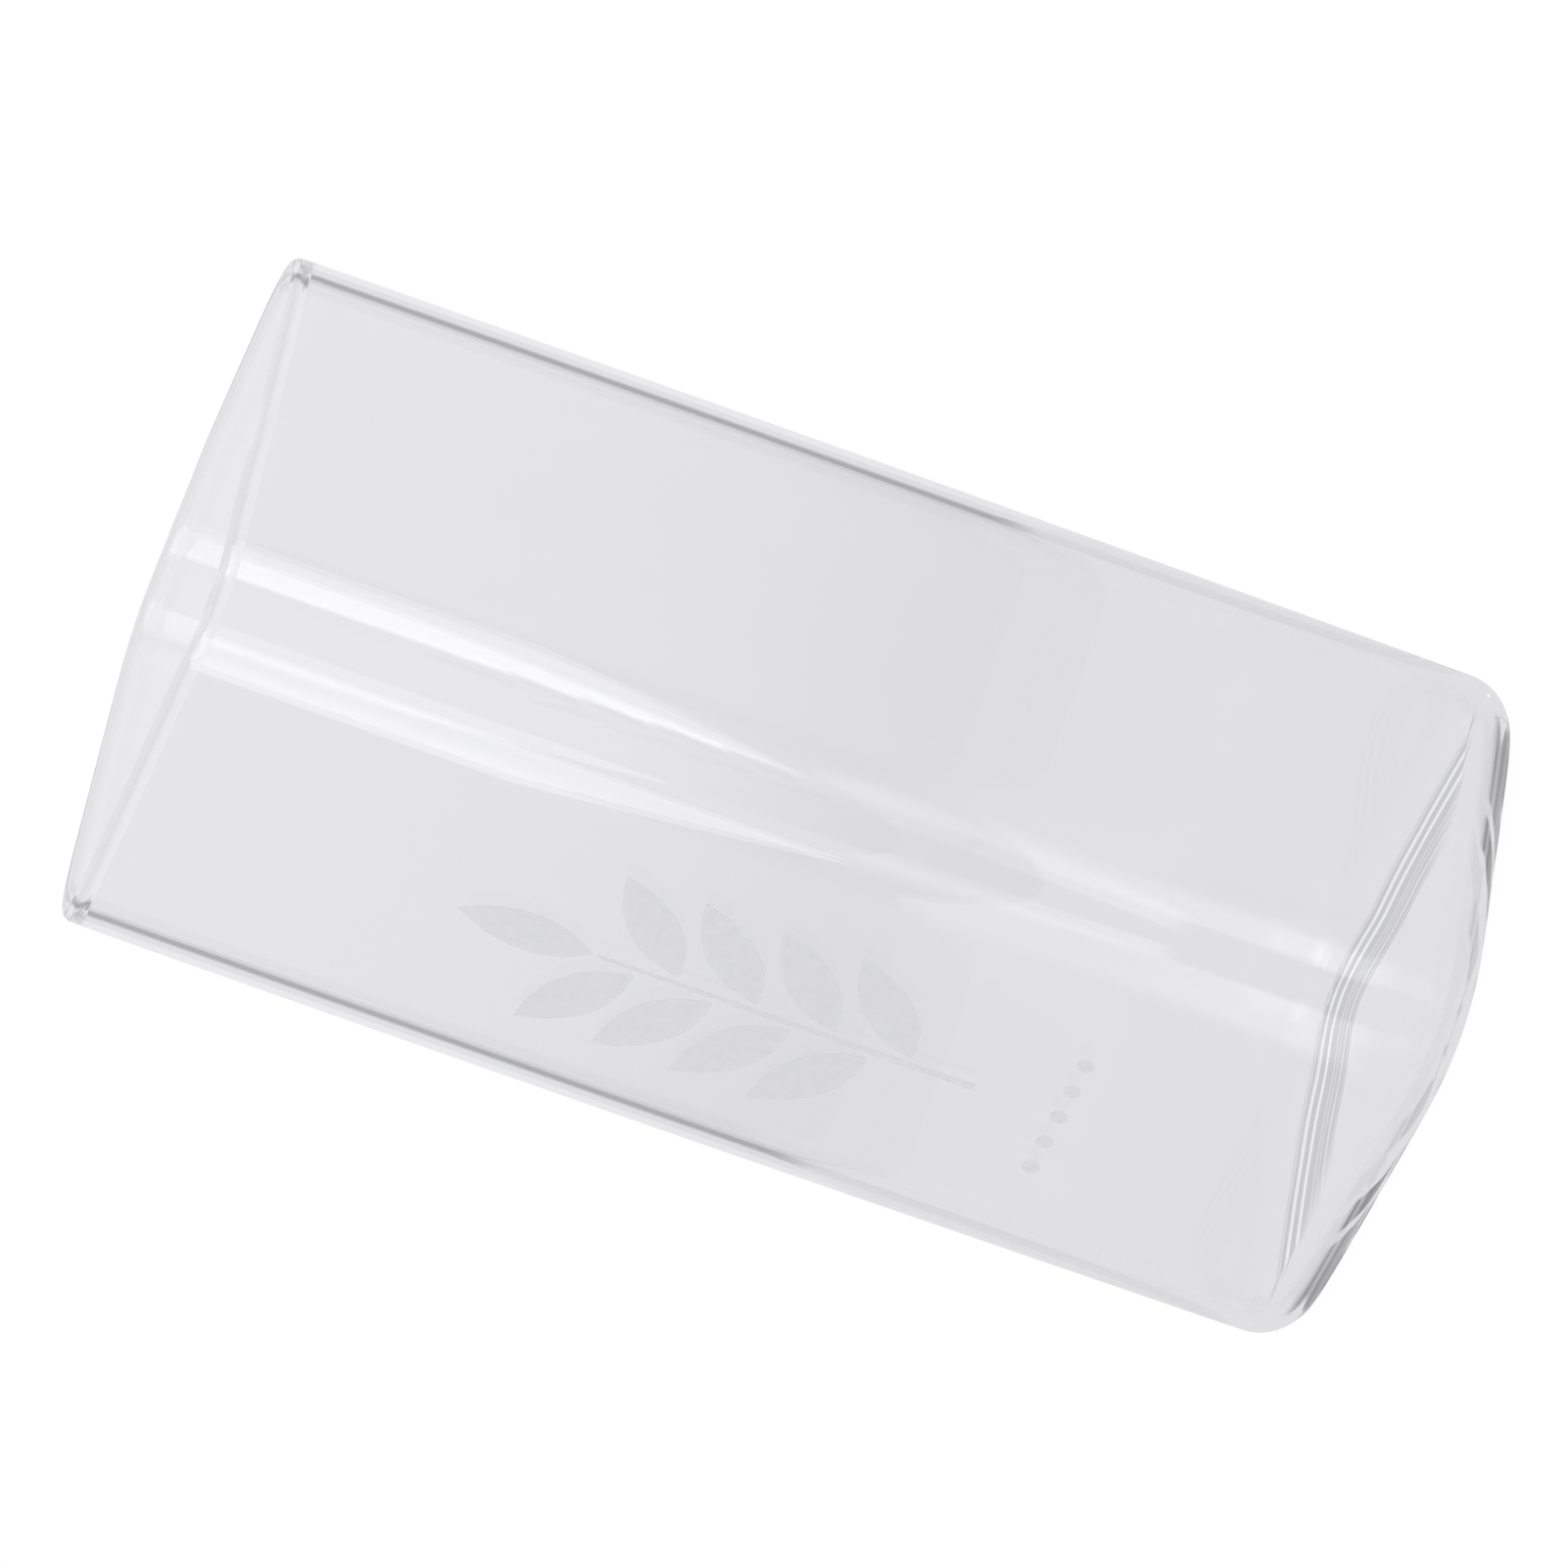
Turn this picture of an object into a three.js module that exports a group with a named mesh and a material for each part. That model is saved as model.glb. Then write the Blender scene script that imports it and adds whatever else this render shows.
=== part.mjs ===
// A tall drinking glass of rounded-square section, blown in one piece, with a leaf sprig
// printed in pale ink on its front wall. Millimetres, +Z up. The origin is at the middle of
// the underside, and the printed wall faces -Y.

import * as THREE from 'three';

// Vessel
const SIDE = 60;
const HEIGHT = 134;
const CORNER_RADIUS = 16;
const WALL = 1.8;
const FLOOR = 2.2;
const HEEL_RADIUS = 5.4;
const RIM_BEAD = 0.3;
const RIM_BLEND = 3.2;
const STANDING_RING = 4;
const PUSH_UP = 0.8;
const LEAST_RADIUS = 0.5;

// Print
const INK = 0.12;
const PRINT_MARGIN = 2;
const PRINT_RISE = 4;
const STEM_WIDTH = 0.9;
const STEM_TIP_WIDTH = 0.45;
const STEM_FOOT = 7;
const LEAF_WIDTH = 5.4;
const LEAF_BELLY = 0.45;
const LEAF_GAP = 1;
const LEAF_TILT = 40;
const ROOT_GAP = 0.5;
const DOT_RADIUS = 0.9;
const DOT_PITCH = 4;
const DOT_DROP = 9;

// Counts of pieces and of facets
const LEAVES_A_SIDE = 4;
const DOTS = 5;
const CORNER_STEPS = 5;
const ARC_STEPS = 6;
const DOME_STEPS = 3;
const LEAF_STEPS = 16;

const glass = new THREE.MeshStandardMaterial({
  name: 'glass',
  color: 0xe2e5e7,
  roughness: 0.02,
  metalness: 0,
  transparent: true,
  opacity: 0.35,
});

const ink = new THREE.MeshStandardMaterial({
  name: 'ink',
  color: 0xdfe1e3,
  roughness: 0.55,
  metalness: 0,
});

// One level of the vessel: the rounded square that lies a given distance in from the outer wall.
function level(inset, z) {
  const radius = Math.max(CORNER_RADIUS - inset, LEAST_RADIUS);
  const centre = SIDE / 2 - inset - radius;
  const outline = new THREE.Shape();
  outline.absarc(centre, centre, radius, 0, Math.PI / 2);
  outline.absarc(-centre, centre, radius, Math.PI / 2, Math.PI);
  outline.absarc(-centre, -centre, radius, Math.PI, 1.5 * Math.PI);
  outline.absarc(centre, -centre, radius, 1.5 * Math.PI, 2 * Math.PI);
  return outline.getPoints(CORNER_STEPS).map((p) => new THREE.Vector3(p.x, p.y, z));
}

// Levels of a shallow dome over the outline of one level, from its edge towards its middle.
function dome(edge, rise) {
  const levels = [];
  for (let step = 0; step < DOME_STEPS; step += 1) {
    const share = 1 - step / DOME_STEPS;
    const lift = rise * (1 - share * share);
    levels.push(edge.map((p) => new THREE.Vector3(p.x * share, p.y * share, p.z + lift)));
  }
  return levels;
}

// Levels along an arc of the profile: its centre, its radius and the two angles it runs between,
// with the angle counted from the outward direction towards +Z.
function arc(insetCentre, zCentre, radius, from, to) {
  const levels = [];
  for (let step = 0; step <= ARC_STEPS; step += 1) {
    const angle = THREE.MathUtils.degToRad(from + ((to - from) * step) / ARC_STEPS);
    levels.push(level(insetCentre - radius * Math.cos(angle), zCentre + radius * Math.sin(angle)));
  }
  return levels;
}

// Levels down the inner side of the rim, where the bead eases into the wall.
function beadBlend(fromInset, toInset, fromZ, toZ) {
  const levels = [];
  for (let step = 1; step <= ARC_STEPS; step += 1) {
    const share = step / ARC_STEPS;
    const ease = (1 - Math.cos(Math.PI * share)) / 2;
    const inset = THREE.MathUtils.lerp(fromInset, toInset, ease);
    levels.push(level(inset, THREE.MathUtils.lerp(fromZ, toZ, share)));
  }
  return levels;
}

// A closed skin through levels of equal length, with a point in the middle of each end.
function loft(levels, startPoint, endPoint) {
  const count = levels[0].length;
  const points = [startPoint, ...levels.flat(), endPoint];
  const last = points.length - 1;
  const at = (row, i) => 1 + row * count + (i % count);
  const faces = [];
  for (let i = 0; i < count; i += 1) {
    faces.push(0, at(0, i + 1), at(0, i));
    for (let row = 0; row + 1 < levels.length; row += 1) {
      faces.push(at(row, i), at(row, i + 1), at(row + 1, i + 1));
      faces.push(at(row, i), at(row + 1, i + 1), at(row + 1, i));
    }
    faces.push(at(levels.length - 1, i), at(levels.length - 1, i + 1), last);
  }
  const geometry = new THREE.BufferGeometry().setFromPoints(points);
  geometry.setIndex(faces);
  geometry.computeVertexNormals();
  return geometry;
}

// The vessel's profile runs from the middle of the underside, round the heel, up the wall, over
// the rim, down inside and across the floor.
function vesselGeometry() {
  const rimRadius = (WALL + RIM_BEAD) / 2;
  const rimZ = HEIGHT - rimRadius;
  const innerHeel = Math.max(HEEL_RADIUS - WALL, LEAST_RADIUS);
  const underside = dome(level(HEEL_RADIUS + STANDING_RING, 0), PUSH_UP).reverse();
  const heel = arc(HEEL_RADIUS, HEEL_RADIUS, HEEL_RADIUS, -90, 0);
  const rim = arc(rimRadius, rimZ, rimRadius, 0, 180);
  const bead = beadBlend(WALL + RIM_BEAD, WALL, rimZ, rimZ - RIM_BLEND);
  const inside = arc(WALL + innerHeel, FLOOR + innerHeel, innerHeel, 0, -90);
  const floor = dome(level(HEEL_RADIUS + STANDING_RING, FLOOR), PUSH_UP);
  const levels = [...underside, ...heel, ...rim, ...bead, ...inside, ...floor];
  return loft(
    levels,
    new THREE.Vector3(0, 0, PUSH_UP),
    new THREE.Vector3(0, 0, FLOOR + PUSH_UP),
  );
}

// One film of ink: a flat shape, drawn as seen from in front, laid on the front wall.
function film(name, shape, x, z, turn = 0) {
  const geometry = new THREE.ExtrudeGeometry(shape, {
    depth: INK,
    bevelEnabled: false,
    curveSegments: LEAF_STEPS,
  });
  geometry.rotateZ(turn);
  const mesh = new THREE.Mesh(geometry, ink);
  mesh.name = name;
  mesh.rotation.x = Math.PI / 2;
  mesh.position.set(x, -SIDE / 2, z);
  return mesh;
}

// A pointed leaf with its root at the origin, growing along +X. Its belly is the share of its
// length where it is widest.
function leafShape(length) {
  const shape = new THREE.Shape();
  shape.moveTo(0, 0);
  shape.quadraticCurveTo(length * LEAF_BELLY, -LEAF_WIDTH, length, 0);
  shape.quadraticCurveTo(length * LEAF_BELLY, LEAF_WIDTH, 0, 0);
  return shape;
}

// A stem that narrows towards its top.
function stemShape(length) {
  const foot = STEM_WIDTH / 2;
  const top = STEM_TIP_WIDTH / 2;
  const shape = new THREE.Shape();
  shape.moveTo(-foot, 0);
  shape.lineTo(foot, 0);
  shape.lineTo(top, length);
  shape.lineTo(-top, length);
  shape.closePath();
  return shape;
}

function dotShape() {
  const shape = new THREE.Shape();
  shape.absarc(0, 0, DOT_RADIUS, 0, 2 * Math.PI);
  return shape;
}

// The sprig: leaves in turn on both sides of the stem, a leaf at its tip and dots under its foot.
function printFilms() {
  const tilt = THREE.MathUtils.degToRad(LEAF_TILT);
  const reach = SIDE / 2 - CORNER_RADIUS - PRINT_MARGIN;
  const root = STEM_WIDTH / 2 + ROOT_GAP;
  const leafLength = (reach - root) / Math.cos(tilt);
  const pitch = (LEAF_WIDTH + LEAF_GAP) / Math.cos(tilt);
  const stemLength = STEM_FOOT + LEAVES_A_SIDE * pitch;
  const sprigHeight = stemLength + ROOT_GAP + leafLength;
  const foot = HEIGHT / 2 + PRINT_RISE - sprigHeight / 2;

  const films = [film('print_stem', stemShape(stemLength), 0, foot)];
  for (let n = 0; n < LEAVES_A_SIDE; n += 1) {
    const z = foot + STEM_FOOT + n * pitch;
    films.push(film(`print_leaf_right_${n + 1}`, leafShape(leafLength), root, z, tilt));
    films.push(
      film(`print_leaf_left_${n + 1}`, leafShape(leafLength), -root, z + pitch / 2, Math.PI - tilt),
    );
  }
  const tipZ = foot + stemLength + ROOT_GAP;
  films.push(film('print_leaf_tip', leafShape(leafLength), 0, tipZ, Math.PI / 2));
  for (let n = 0; n < DOTS; n += 1) {
    const x = (n - (DOTS - 1) / 2) * DOT_PITCH;
    films.push(film(`print_dot_${n + 1}`, dotShape(), x, foot - DOT_DROP));
  }
  return films;
}

const vessel = new THREE.Mesh(vesselGeometry(), glass);
vessel.name = 'glass_body';

const print = new THREE.Group();
print.name = 'print';
print.add(...printFilms());

const drinkingGlass = new THREE.Group();
drinkingGlass.name = 'drinking_glass';
drinkingGlass.add(vessel, print);

export default drinkingGlass;
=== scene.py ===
"""Dresses a tall square drinking glass with a leaf print, and lights it in a small white studio."""

import math

import bmesh
import bpy
from mathutils import Matrix, Vector


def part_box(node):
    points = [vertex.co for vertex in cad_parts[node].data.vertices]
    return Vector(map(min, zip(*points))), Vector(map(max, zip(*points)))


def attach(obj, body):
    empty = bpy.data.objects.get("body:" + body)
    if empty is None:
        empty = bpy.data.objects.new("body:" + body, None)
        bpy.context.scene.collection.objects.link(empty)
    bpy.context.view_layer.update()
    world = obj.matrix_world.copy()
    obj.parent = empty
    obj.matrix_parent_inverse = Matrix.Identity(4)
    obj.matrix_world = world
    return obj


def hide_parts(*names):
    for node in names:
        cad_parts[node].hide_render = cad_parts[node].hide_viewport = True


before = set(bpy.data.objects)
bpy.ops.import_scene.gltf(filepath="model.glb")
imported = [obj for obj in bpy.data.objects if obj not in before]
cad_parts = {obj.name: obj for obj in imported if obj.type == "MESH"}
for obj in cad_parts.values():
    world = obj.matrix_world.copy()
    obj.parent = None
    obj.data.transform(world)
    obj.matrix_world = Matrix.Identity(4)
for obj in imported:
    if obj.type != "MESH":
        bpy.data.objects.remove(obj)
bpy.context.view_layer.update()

bl_info = {
    "name": "Square Drinking Glass",
    "version": (1, 0, 0),
    "blender": (4, 5, 0),
    "location": "View3D > Sidebar > Drinking Glass",
    "description": "Models a blown square drinking glass with printed leaves, and its studio",
    "category": "Add Mesh",
}

MM = 0.001
NEAR = 1e-6
ORIGIN = (0, 0, 0)
ROUND_PROFILE = 0.5
SELECT_MODES = {"faces": "FACE", "edges": "EDGE", "verts": "VERT"}

BODY = "root"
VESSEL_NODE = "glass_body"
VESSEL_LOW, VESSEL_HIGH = (Vector(corner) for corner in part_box(VESSEL_NODE))
PRINT_NODES = sorted(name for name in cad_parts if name.startswith("print_"))

# Noise that isn't stretched, the span that most of its values lie in, and a speck's solid core
EVEN = (1, 1, 1)
NOISE_SPAN = (0.35, 0.65)
SPECK_CORE = 0.6

# Blown glass, with scales in cells a metre
GLASS_IOR = 1.47
CORD_STRETCH = (1, 1, 0.12)
CORD_SCALE = 160
SEED_SCALE = 70
SEED_SIZE = 0.11 * MM
WIPE_SCALE = 45
WIPE_SPAN = (0.64, 0.8)
WIPE_ROUGHNESS = 0.012
WAVE_STRETCH = (1, 1, 0.2)
WAVE_SCALE = 70
WAVE_DEPTH = 0.016 * MM

# Fired ink, with the share of the light that it stops
INK_COVER = 0.42
INK_ROUGHNESS = (0.48, 0.64)
MOTTLE_SCALE = 900
PINHOLE_SCALE = 900
PINHOLE_SIZE = 0.14 * MM
GRAIN_SCALE = 2600
GRAIN_DEPTH = 0.012 * MM


class VesselSizes(bpy.types.PropertyGroup):
    """Sizes of the blown glass and of the ink on it"""

    side: bpy.props.FloatProperty(
        name="Side",
        description="Width across two flat walls",
        default=VESSEL_HIGH.x - VESSEL_LOW.x,
        unit="LENGTH",
    )
    height: bpy.props.FloatProperty(
        name="Height",
        description="Height from the table to the top of the rim",
        default=VESSEL_HIGH.z - VESSEL_LOW.z,
        unit="LENGTH",
    )
    corner: bpy.props.FloatProperty(
        name="Corner Radius",
        description="Outer radius of the four upright corners",
        default=16 * MM,
        unit="LENGTH",
    )
    inner_corner: bpy.props.FloatProperty(
        name="Inner Corner Radius",
        description="Radius of the four upright corners inside the glass",
        default=14.2 * MM,
        unit="LENGTH",
    )
    wall: bpy.props.FloatProperty(
        name="Wall",
        description="Thickness of the wall",
        default=1.8 * MM,
        unit="LENGTH",
    )
    floor: bpy.props.FloatProperty(
        name="Floor",
        description="Thickness of the floor",
        default=2.2 * MM,
        unit="LENGTH",
    )
    heel: bpy.props.FloatProperty(
        name="Heel Radius",
        description="Outer radius between the wall and the underside",
        default=5.4 * MM,
        unit="LENGTH",
    )
    inner_heel: bpy.props.FloatProperty(
        name="Inner Heel Radius",
        description="Radius between the wall and the floor inside, where the glass gathers",
        default=3.6 * MM,
        unit="LENGTH",
    )
    ring: bpy.props.FloatProperty(
        name="Standing Ring",
        description="Width of the flat ring that the glass stands on",
        default=4 * MM,
        unit="LENGTH",
    )
    push_up: bpy.props.FloatProperty(
        name="Push-up",
        description="Rise of the middle of the floor above the standing ring",
        default=0.4 * MM,
        unit="LENGTH",
    )
    bead: bpy.props.FloatProperty(
        name="Rim Bead",
        description="How far the fire-polished rim swells into the mouth",
        default=0.35 * MM,
        unit="LENGTH",
    )
    bead_blend: bpy.props.FloatProperty(
        name="Bead Blend",
        description="Height over which the bead eases into the wall",
        default=1.0 * MM,
        unit="LENGTH",
    )
    bow: bpy.props.FloatProperty(
        name="Bow",
        description="How far each wall draws in at the rim and the base, from half way up",
        default=0.2 * MM,
        unit="LENGTH",
    )
    ripple: bpy.props.FloatProperty(
        name="Heel Ripple",
        description="Height of the chill ripples inside the heel",
        default=0.04 * MM,
        unit="LENGTH",
    )
    ink_film: bpy.props.FloatProperty(
        name="Ink Film",
        description="Thickness of the printed ink",
        default=0.03 * MM,
        unit="LENGTH",
    )
    ink_seat: bpy.props.FloatProperty(
        name="Ink Seat",
        description="Room left between the glass and the back of the printed ink",
        default=0.02 * MM,
        unit="LENGTH",
    )

    def push_up_reach(self):
        """Distance from the axis to the edge of the pushed-up middle."""
        return self.side / 2 - self.heel - self.ring


class FinishColours(bpy.types.PropertyGroup):
    """Colours of the glass, the ink and the studio"""

    glass: bpy.props.FloatVectorProperty(
        name="Glass",
        description="Colour of light that has passed one wall",
        default=(0.956, 0.956, 0.956, 1.0),
        size=4,
        subtype="COLOR",
    )
    glass_cord: bpy.props.FloatVectorProperty(
        name="Glass Cord",
        description="Colour of light that has passed a denser streak of one wall",
        default=(0.953, 0.9535, 0.9535, 1.0),
        size=4,
        subtype="COLOR",
    )
    seed: bpy.props.FloatVectorProperty(
        name="Seed",
        description="Colour of light that has passed a tiny bubble",
        default=(0.72, 0.72, 0.72, 1.0),
        size=4,
        subtype="COLOR",
    )
    ink: bpy.props.FloatVectorProperty(
        name="Ink",
        description="Colour of the fired ink",
        default=(0.715, 0.715, 0.717, 1.0),
        size=4,
        subtype="COLOR",
    )
    ink_thin: bpy.props.FloatVectorProperty(
        name="Thin Ink",
        description="Colour of the ink where it lies thin",
        default=(0.69, 0.69, 0.692, 1.0),
        size=4,
        subtype="COLOR",
    )
    table: bpy.props.FloatVectorProperty(
        name="Table",
        description="Colour of the table top",
        default=(0.8, 0.8, 0.8, 1.0),
        size=4,
        subtype="COLOR",
    )
    daylight: bpy.props.FloatVectorProperty(
        name="Daylight",
        description="Colour of the light in the room",
        default=(0.98, 0.98, 1.0, 1.0),
        size=4,
        subtype="COLOR",
    )


class StudioSettings(bpy.types.PropertyGroup):
    """Camera, lamps, table and room"""

    turn: bpy.props.FloatProperty(
        name="Turn",
        description="Direction that the camera stands in, counted from the printed wall",
        default=math.radians(44.0),
        subtype="ANGLE",
    )
    distance: bpy.props.FloatProperty(
        name="Distance",
        description="Level distance of the camera",
        default=1.211,
        unit="LENGTH",
    )
    camera_height: bpy.props.FloatProperty(
        name="Camera Height",
        description="Height of the camera above the table",
        default=0.237,
        unit="LENGTH",
    )
    aim_height: bpy.props.FloatProperty(
        name="Aim Height",
        description="Height that the camera looks at",
        default=0.0688,
        unit="LENGTH",
    )
    aim_side: bpy.props.FloatProperty(
        name="Aim Side",
        description="How far to the right the camera looks",
        default=0.0016,
        unit="LENGTH",
    )
    roll: bpy.props.FloatProperty(
        name="Roll",
        description="How far the camera is rolled",
        default=math.radians(-70.58),
        subtype="ANGLE",
    )
    lens: bpy.props.FloatProperty(
        name="Lens",
        description="Focal length in millimetres on a 36 mm sensor",
        default=275.4,
        unit="CAMERA",
    )
    table_size: bpy.props.FloatProperty(
        name="Table",
        description="Width of the table top",
        default=0.62,
        unit="LENGTH",
    )
    lamp_strength: bpy.props.FloatProperty(
        name="Lamp Strength",
        description="Brightness of the two lamps' faces",
        default=1.6,
    )
    backdrop: bpy.props.FloatProperty(
        name="Backdrop",
        description="Brightness of the pale backdrop behind the glass",
        default=0.858,
    )
    gap: bpy.props.FloatProperty(
        name="Gap",
        description="Brightness of the gaps beside the backdrop",
        default=0.38,
    )
    low_shade: bpy.props.FloatProperty(
        name="Low Shade",
        description="How much darker the backdrop is near the table",
        default=0.042,
    )
    front: bpy.props.FloatProperty(
        name="Front",
        description="Brightness of the room under the camera",
        default=0.3,
    )
    # The pools of light are painted into the table's glow, and only mirrored light shows them
    pools: bpy.props.FloatProperty(
        name="Pools",
        description="Brightness of the lamps' pools of light on the table",
        default=0.6,
    )
    under_glass: bpy.props.FloatProperty(
        name="Under Glass",
        description="Brightness of the table under the floor",
        default=0.83,
    )
    far_shade: bpy.props.FloatProperty(
        name="Far Shade",
        description="Brightness of the table under the far heel",
        default=0.5,
    )
    foot_light: bpy.props.FloatProperty(
        name="Foot Light",
        description="Brightness of the table beside the foot's shade",
        default=0.78,
    )
    foot_shade: bpy.props.FloatProperty(
        name="Foot Shade",
        description="Brightness of the table under the near heel",
        default=0.2,
    )
    side_low: bpy.props.FloatProperty(
        name="Side Walls",
        description="Brightness of the side walls below the table",
        default=0.6,
    )
    overhead: bpy.props.FloatProperty(
        name="Overhead",
        description="Brightness of the ceiling",
        default=1.0,
    )
    bounces: bpy.props.IntProperty(
        name="Bounces",
        description="How often light may turn inside the glass",
        default=200,
    )


def clear_selection():
    """Leaves object mode with nothing selected."""
    if bpy.context.object and bpy.context.object.mode != "OBJECT":
        bpy.ops.object.mode_set(mode="OBJECT")
    bpy.ops.object.select_all(action="DESELECT")


def select_only(obj):
    """Selects one object and makes it active."""
    clear_selection()
    obj.select_set(True)
    bpy.context.view_layer.objects.active = obj


def edit_all(obj):
    """Opens one object in edit mode with all of it selected."""
    select_only(obj)
    bpy.ops.object.mode_set(mode="EDIT")
    bpy.ops.mesh.select_all(action="SELECT")


def pick(obj, kind, test):
    """In edit mode, selects the faces, edges or verts that a test accepts."""
    bpy.ops.mesh.select_all(action="DESELECT")
    bpy.ops.mesh.select_mode(type=SELECT_MODES[kind])
    mesh = bmesh.from_edit_mesh(obj.data)
    for item in getattr(mesh, kind):
        if test(item):
            item.select_set(True)
    mesh.select_flush_mode()
    bmesh.update_edit_mesh(obj.data)


def longer_than(length):
    """A test for edges that are longer than a length."""
    return lambda edge: edge.calc_length() > length


def level_edge(z):
    """A test for edges that lie level at one height."""
    return lambda edge: all(abs(vert.co.z - z) < NEAR for vert in edge.verts)


def in_row(z):
    """A test for points in the row whose lowest point is at one height."""
    return lambda vert: -NEAR < vert.co.z - z <= 2 * NEAR


def inside_at(z):
    """A test for points at one height inside the wall, where normals point to the axis."""
    return lambda vert: vert.normal.xy.dot(vert.co.xy) < 0 and abs(vert.co.z - z) < NEAR


def many_sided(face):
    """Whether a face has more than four corners."""
    return len(face.verts) > 4


def rounded_square(name, side, corner, steps):
    """Adds a flat rounded square at the origin and leaves it in edit mode."""
    clear_selection()
    bpy.ops.mesh.primitive_plane_add(size=side, location=ORIGIN)
    obj = bpy.context.object
    obj.name = name
    obj.data.name = name
    edit_all(obj)
    bpy.ops.mesh.bevel(offset=corner, segments=steps, profile=ROUND_PROFILE, affect="VERTICES")
    return obj


def round_edges(width, steps):
    """Rounds the selected edges."""
    bpy.ops.mesh.bevel(
        offset=width,
        segments=steps,
        profile=ROUND_PROFILE,
        affect="EDGES",
        clamp_overlap=False,
    )


def draw_in(share):
    """Scales the selection towards the axis of the glass."""
    bpy.ops.transform.resize(value=(share, share, 1), center_override=ORIGIN)


def swell(place, reach):
    """Height of a smooth swell of 1 at the middle that ends at a square's edge."""
    along = min(abs(place.x) / reach, 1)
    across = min(abs(place.y) / reach, 1)
    return (math.cos(math.pi * along) + 1) * (math.cos(math.pi * across) + 1) / 4


def displace(obj, name, weights, height, direction):
    """Moves points by their weight times a height, with an applied Displace modifier."""
    group = obj.vertex_groups.new(name=name)
    for index, weight in weights.items():
        group.add([index], weight, "REPLACE")
    modifier = obj.modifiers.new(name, "DISPLACE")
    modifier.direction = direction
    modifier.vertex_group = name
    modifier.strength = height
    modifier.mid_level = 0.0
    select_only(obj)
    bpy.ops.object.modifier_apply(modifier=name)
    obj.vertex_groups.clear()


def new_material(name):
    """Adds a material, and gives it with its node tree and its shader."""
    material = bpy.data.materials.new(name)
    material.use_nodes = True
    tree = material.node_tree
    return material, tree, tree.nodes["Principled BSDF"]


def cover(obj, material):
    """Gives an object one material all over."""
    obj.data.materials.clear()
    obj.data.materials.append(material)


def feed(tree, value, socket):
    """Sets a socket to a number or links another socket to it."""
    if isinstance(value, (int, float)):
        socket.default_value = value
    else:
        tree.links.new(value, socket)


def calculate(tree, operation, first, second=0.0):
    """Adds a Math node and gives its result."""
    node = tree.nodes.new("ShaderNodeMath")
    node.operation = operation
    feed(tree, first, node.inputs[0])
    feed(tree, second, node.inputs[1])
    return node.outputs["Value"]


def product(tree, first, *others):
    """Multiplies two or more values."""
    result = first
    for other in others:
        result = calculate(tree, "MULTIPLY", result, other)
    return result


def vector_math(tree, operation, first, second=None):
    """Adds a Vector Math node and gives its result: a number for a length or a dot product."""
    node = tree.nodes.new("ShaderNodeVectorMath")
    node.operation = operation
    tree.links.new(first, node.inputs[0])
    if second is not None:
        node.inputs[1].default_value = second
    return node.outputs["Value" if operation in ("LENGTH", "DOT_PRODUCT") else "Vector"]


def blend(tree, value, span, low, high):
    """Adds a smooth step from low to high while a value goes through a span."""
    node = tree.nodes.new("ShaderNodeMapRange")
    node.interpolation_type = "SMOOTHSTEP"
    feed(tree, value, node.inputs["Value"])
    feed(tree, span[0], node.inputs["From Min"])
    feed(tree, span[1], node.inputs["From Max"])
    feed(tree, low, node.inputs["To Min"])
    feed(tree, high, node.inputs["To Max"])
    return node.outputs["Result"]


def choose(tree, switch, off, on):
    """Goes from one value to another as a switch goes from 0 to 1."""
    return blend(tree, switch, (0.0, 1.0), off, on)


def turned_back(tree, path, least):
    """1 for light that was mirrored or scattered to the least depth or more, 0 for other light."""
    depths = [path.outputs[name] for name in ("Ray Depth", "Transmission Depth")]
    return calculate(tree, "GREATER_THAN", calculate(tree, "SUBTRACT", *depths), least - 0.5)


def stretched_noise(tree, stretch, scale, detail):
    """Noise on the object's own coordinates, drawn out along an axis where stretch is under 1."""
    where = tree.nodes.new("ShaderNodeTexCoord")
    mapping = tree.nodes.new("ShaderNodeMapping")
    mapping.inputs["Scale"].default_value = stretch
    noise = tree.nodes.new("ShaderNodeTexNoise")
    noise.inputs["Scale"].default_value = scale
    noise.inputs["Detail"].default_value = detail
    tree.links.new(where.outputs["Object"], mapping.inputs["Vector"])
    tree.links.new(mapping.outputs["Vector"], noise.inputs["Vector"])
    return noise.outputs["Fac"]


def fine_lines(tree, place, scale):
    """Noise along one coordinate, which makes lines across it."""
    noise = tree.nodes.new("ShaderNodeTexNoise")
    noise.noise_dimensions = "1D"
    noise.inputs["Scale"].default_value = scale
    noise.inputs["Detail"].default_value = 1
    tree.links.new(place, noise.inputs["W"])
    return noise.outputs["Fac"]


def specks(tree, scale, size):
    """A few tiny round specks, 1 in their middles and 0 between them."""
    where = tree.nodes.new("ShaderNodeTexCoord")
    cells = tree.nodes.new("ShaderNodeTexVoronoi")
    cells.inputs["Scale"].default_value = scale
    tree.links.new(where.outputs["Object"], cells.inputs["Vector"])
    edge = size * scale
    return blend(tree, cells.outputs["Distance"], (SPECK_CORE * edge, edge), 1.0, 0.0)


def mix_colours(tree, share, first, second):
    """A colour between two others."""
    mix = tree.nodes.new("ShaderNodeMix")
    mix.data_type = "RGBA"
    tree.links.new(share, mix.inputs["Factor"])
    for colour, socket in ((first, mix.inputs["A"]), (second, mix.inputs["B"])):
        if isinstance(colour, bpy.types.NodeSocket):
            tree.links.new(colour, socket)
        else:
            socket.default_value = colour
    return mix.outputs["Result"]


def bump(tree, height, depth, shader):
    """Roughens a shader's surface by a height from 0 to 1 times a depth."""
    node = tree.nodes.new("ShaderNodeBump")
    node.inputs["Strength"].default_value = 1.0
    node.inputs["Distance"].default_value = depth
    tree.links.new(height, node.inputs["Height"])
    tree.links.new(node.outputs["Normal"], shader.inputs["Normal"])


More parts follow.
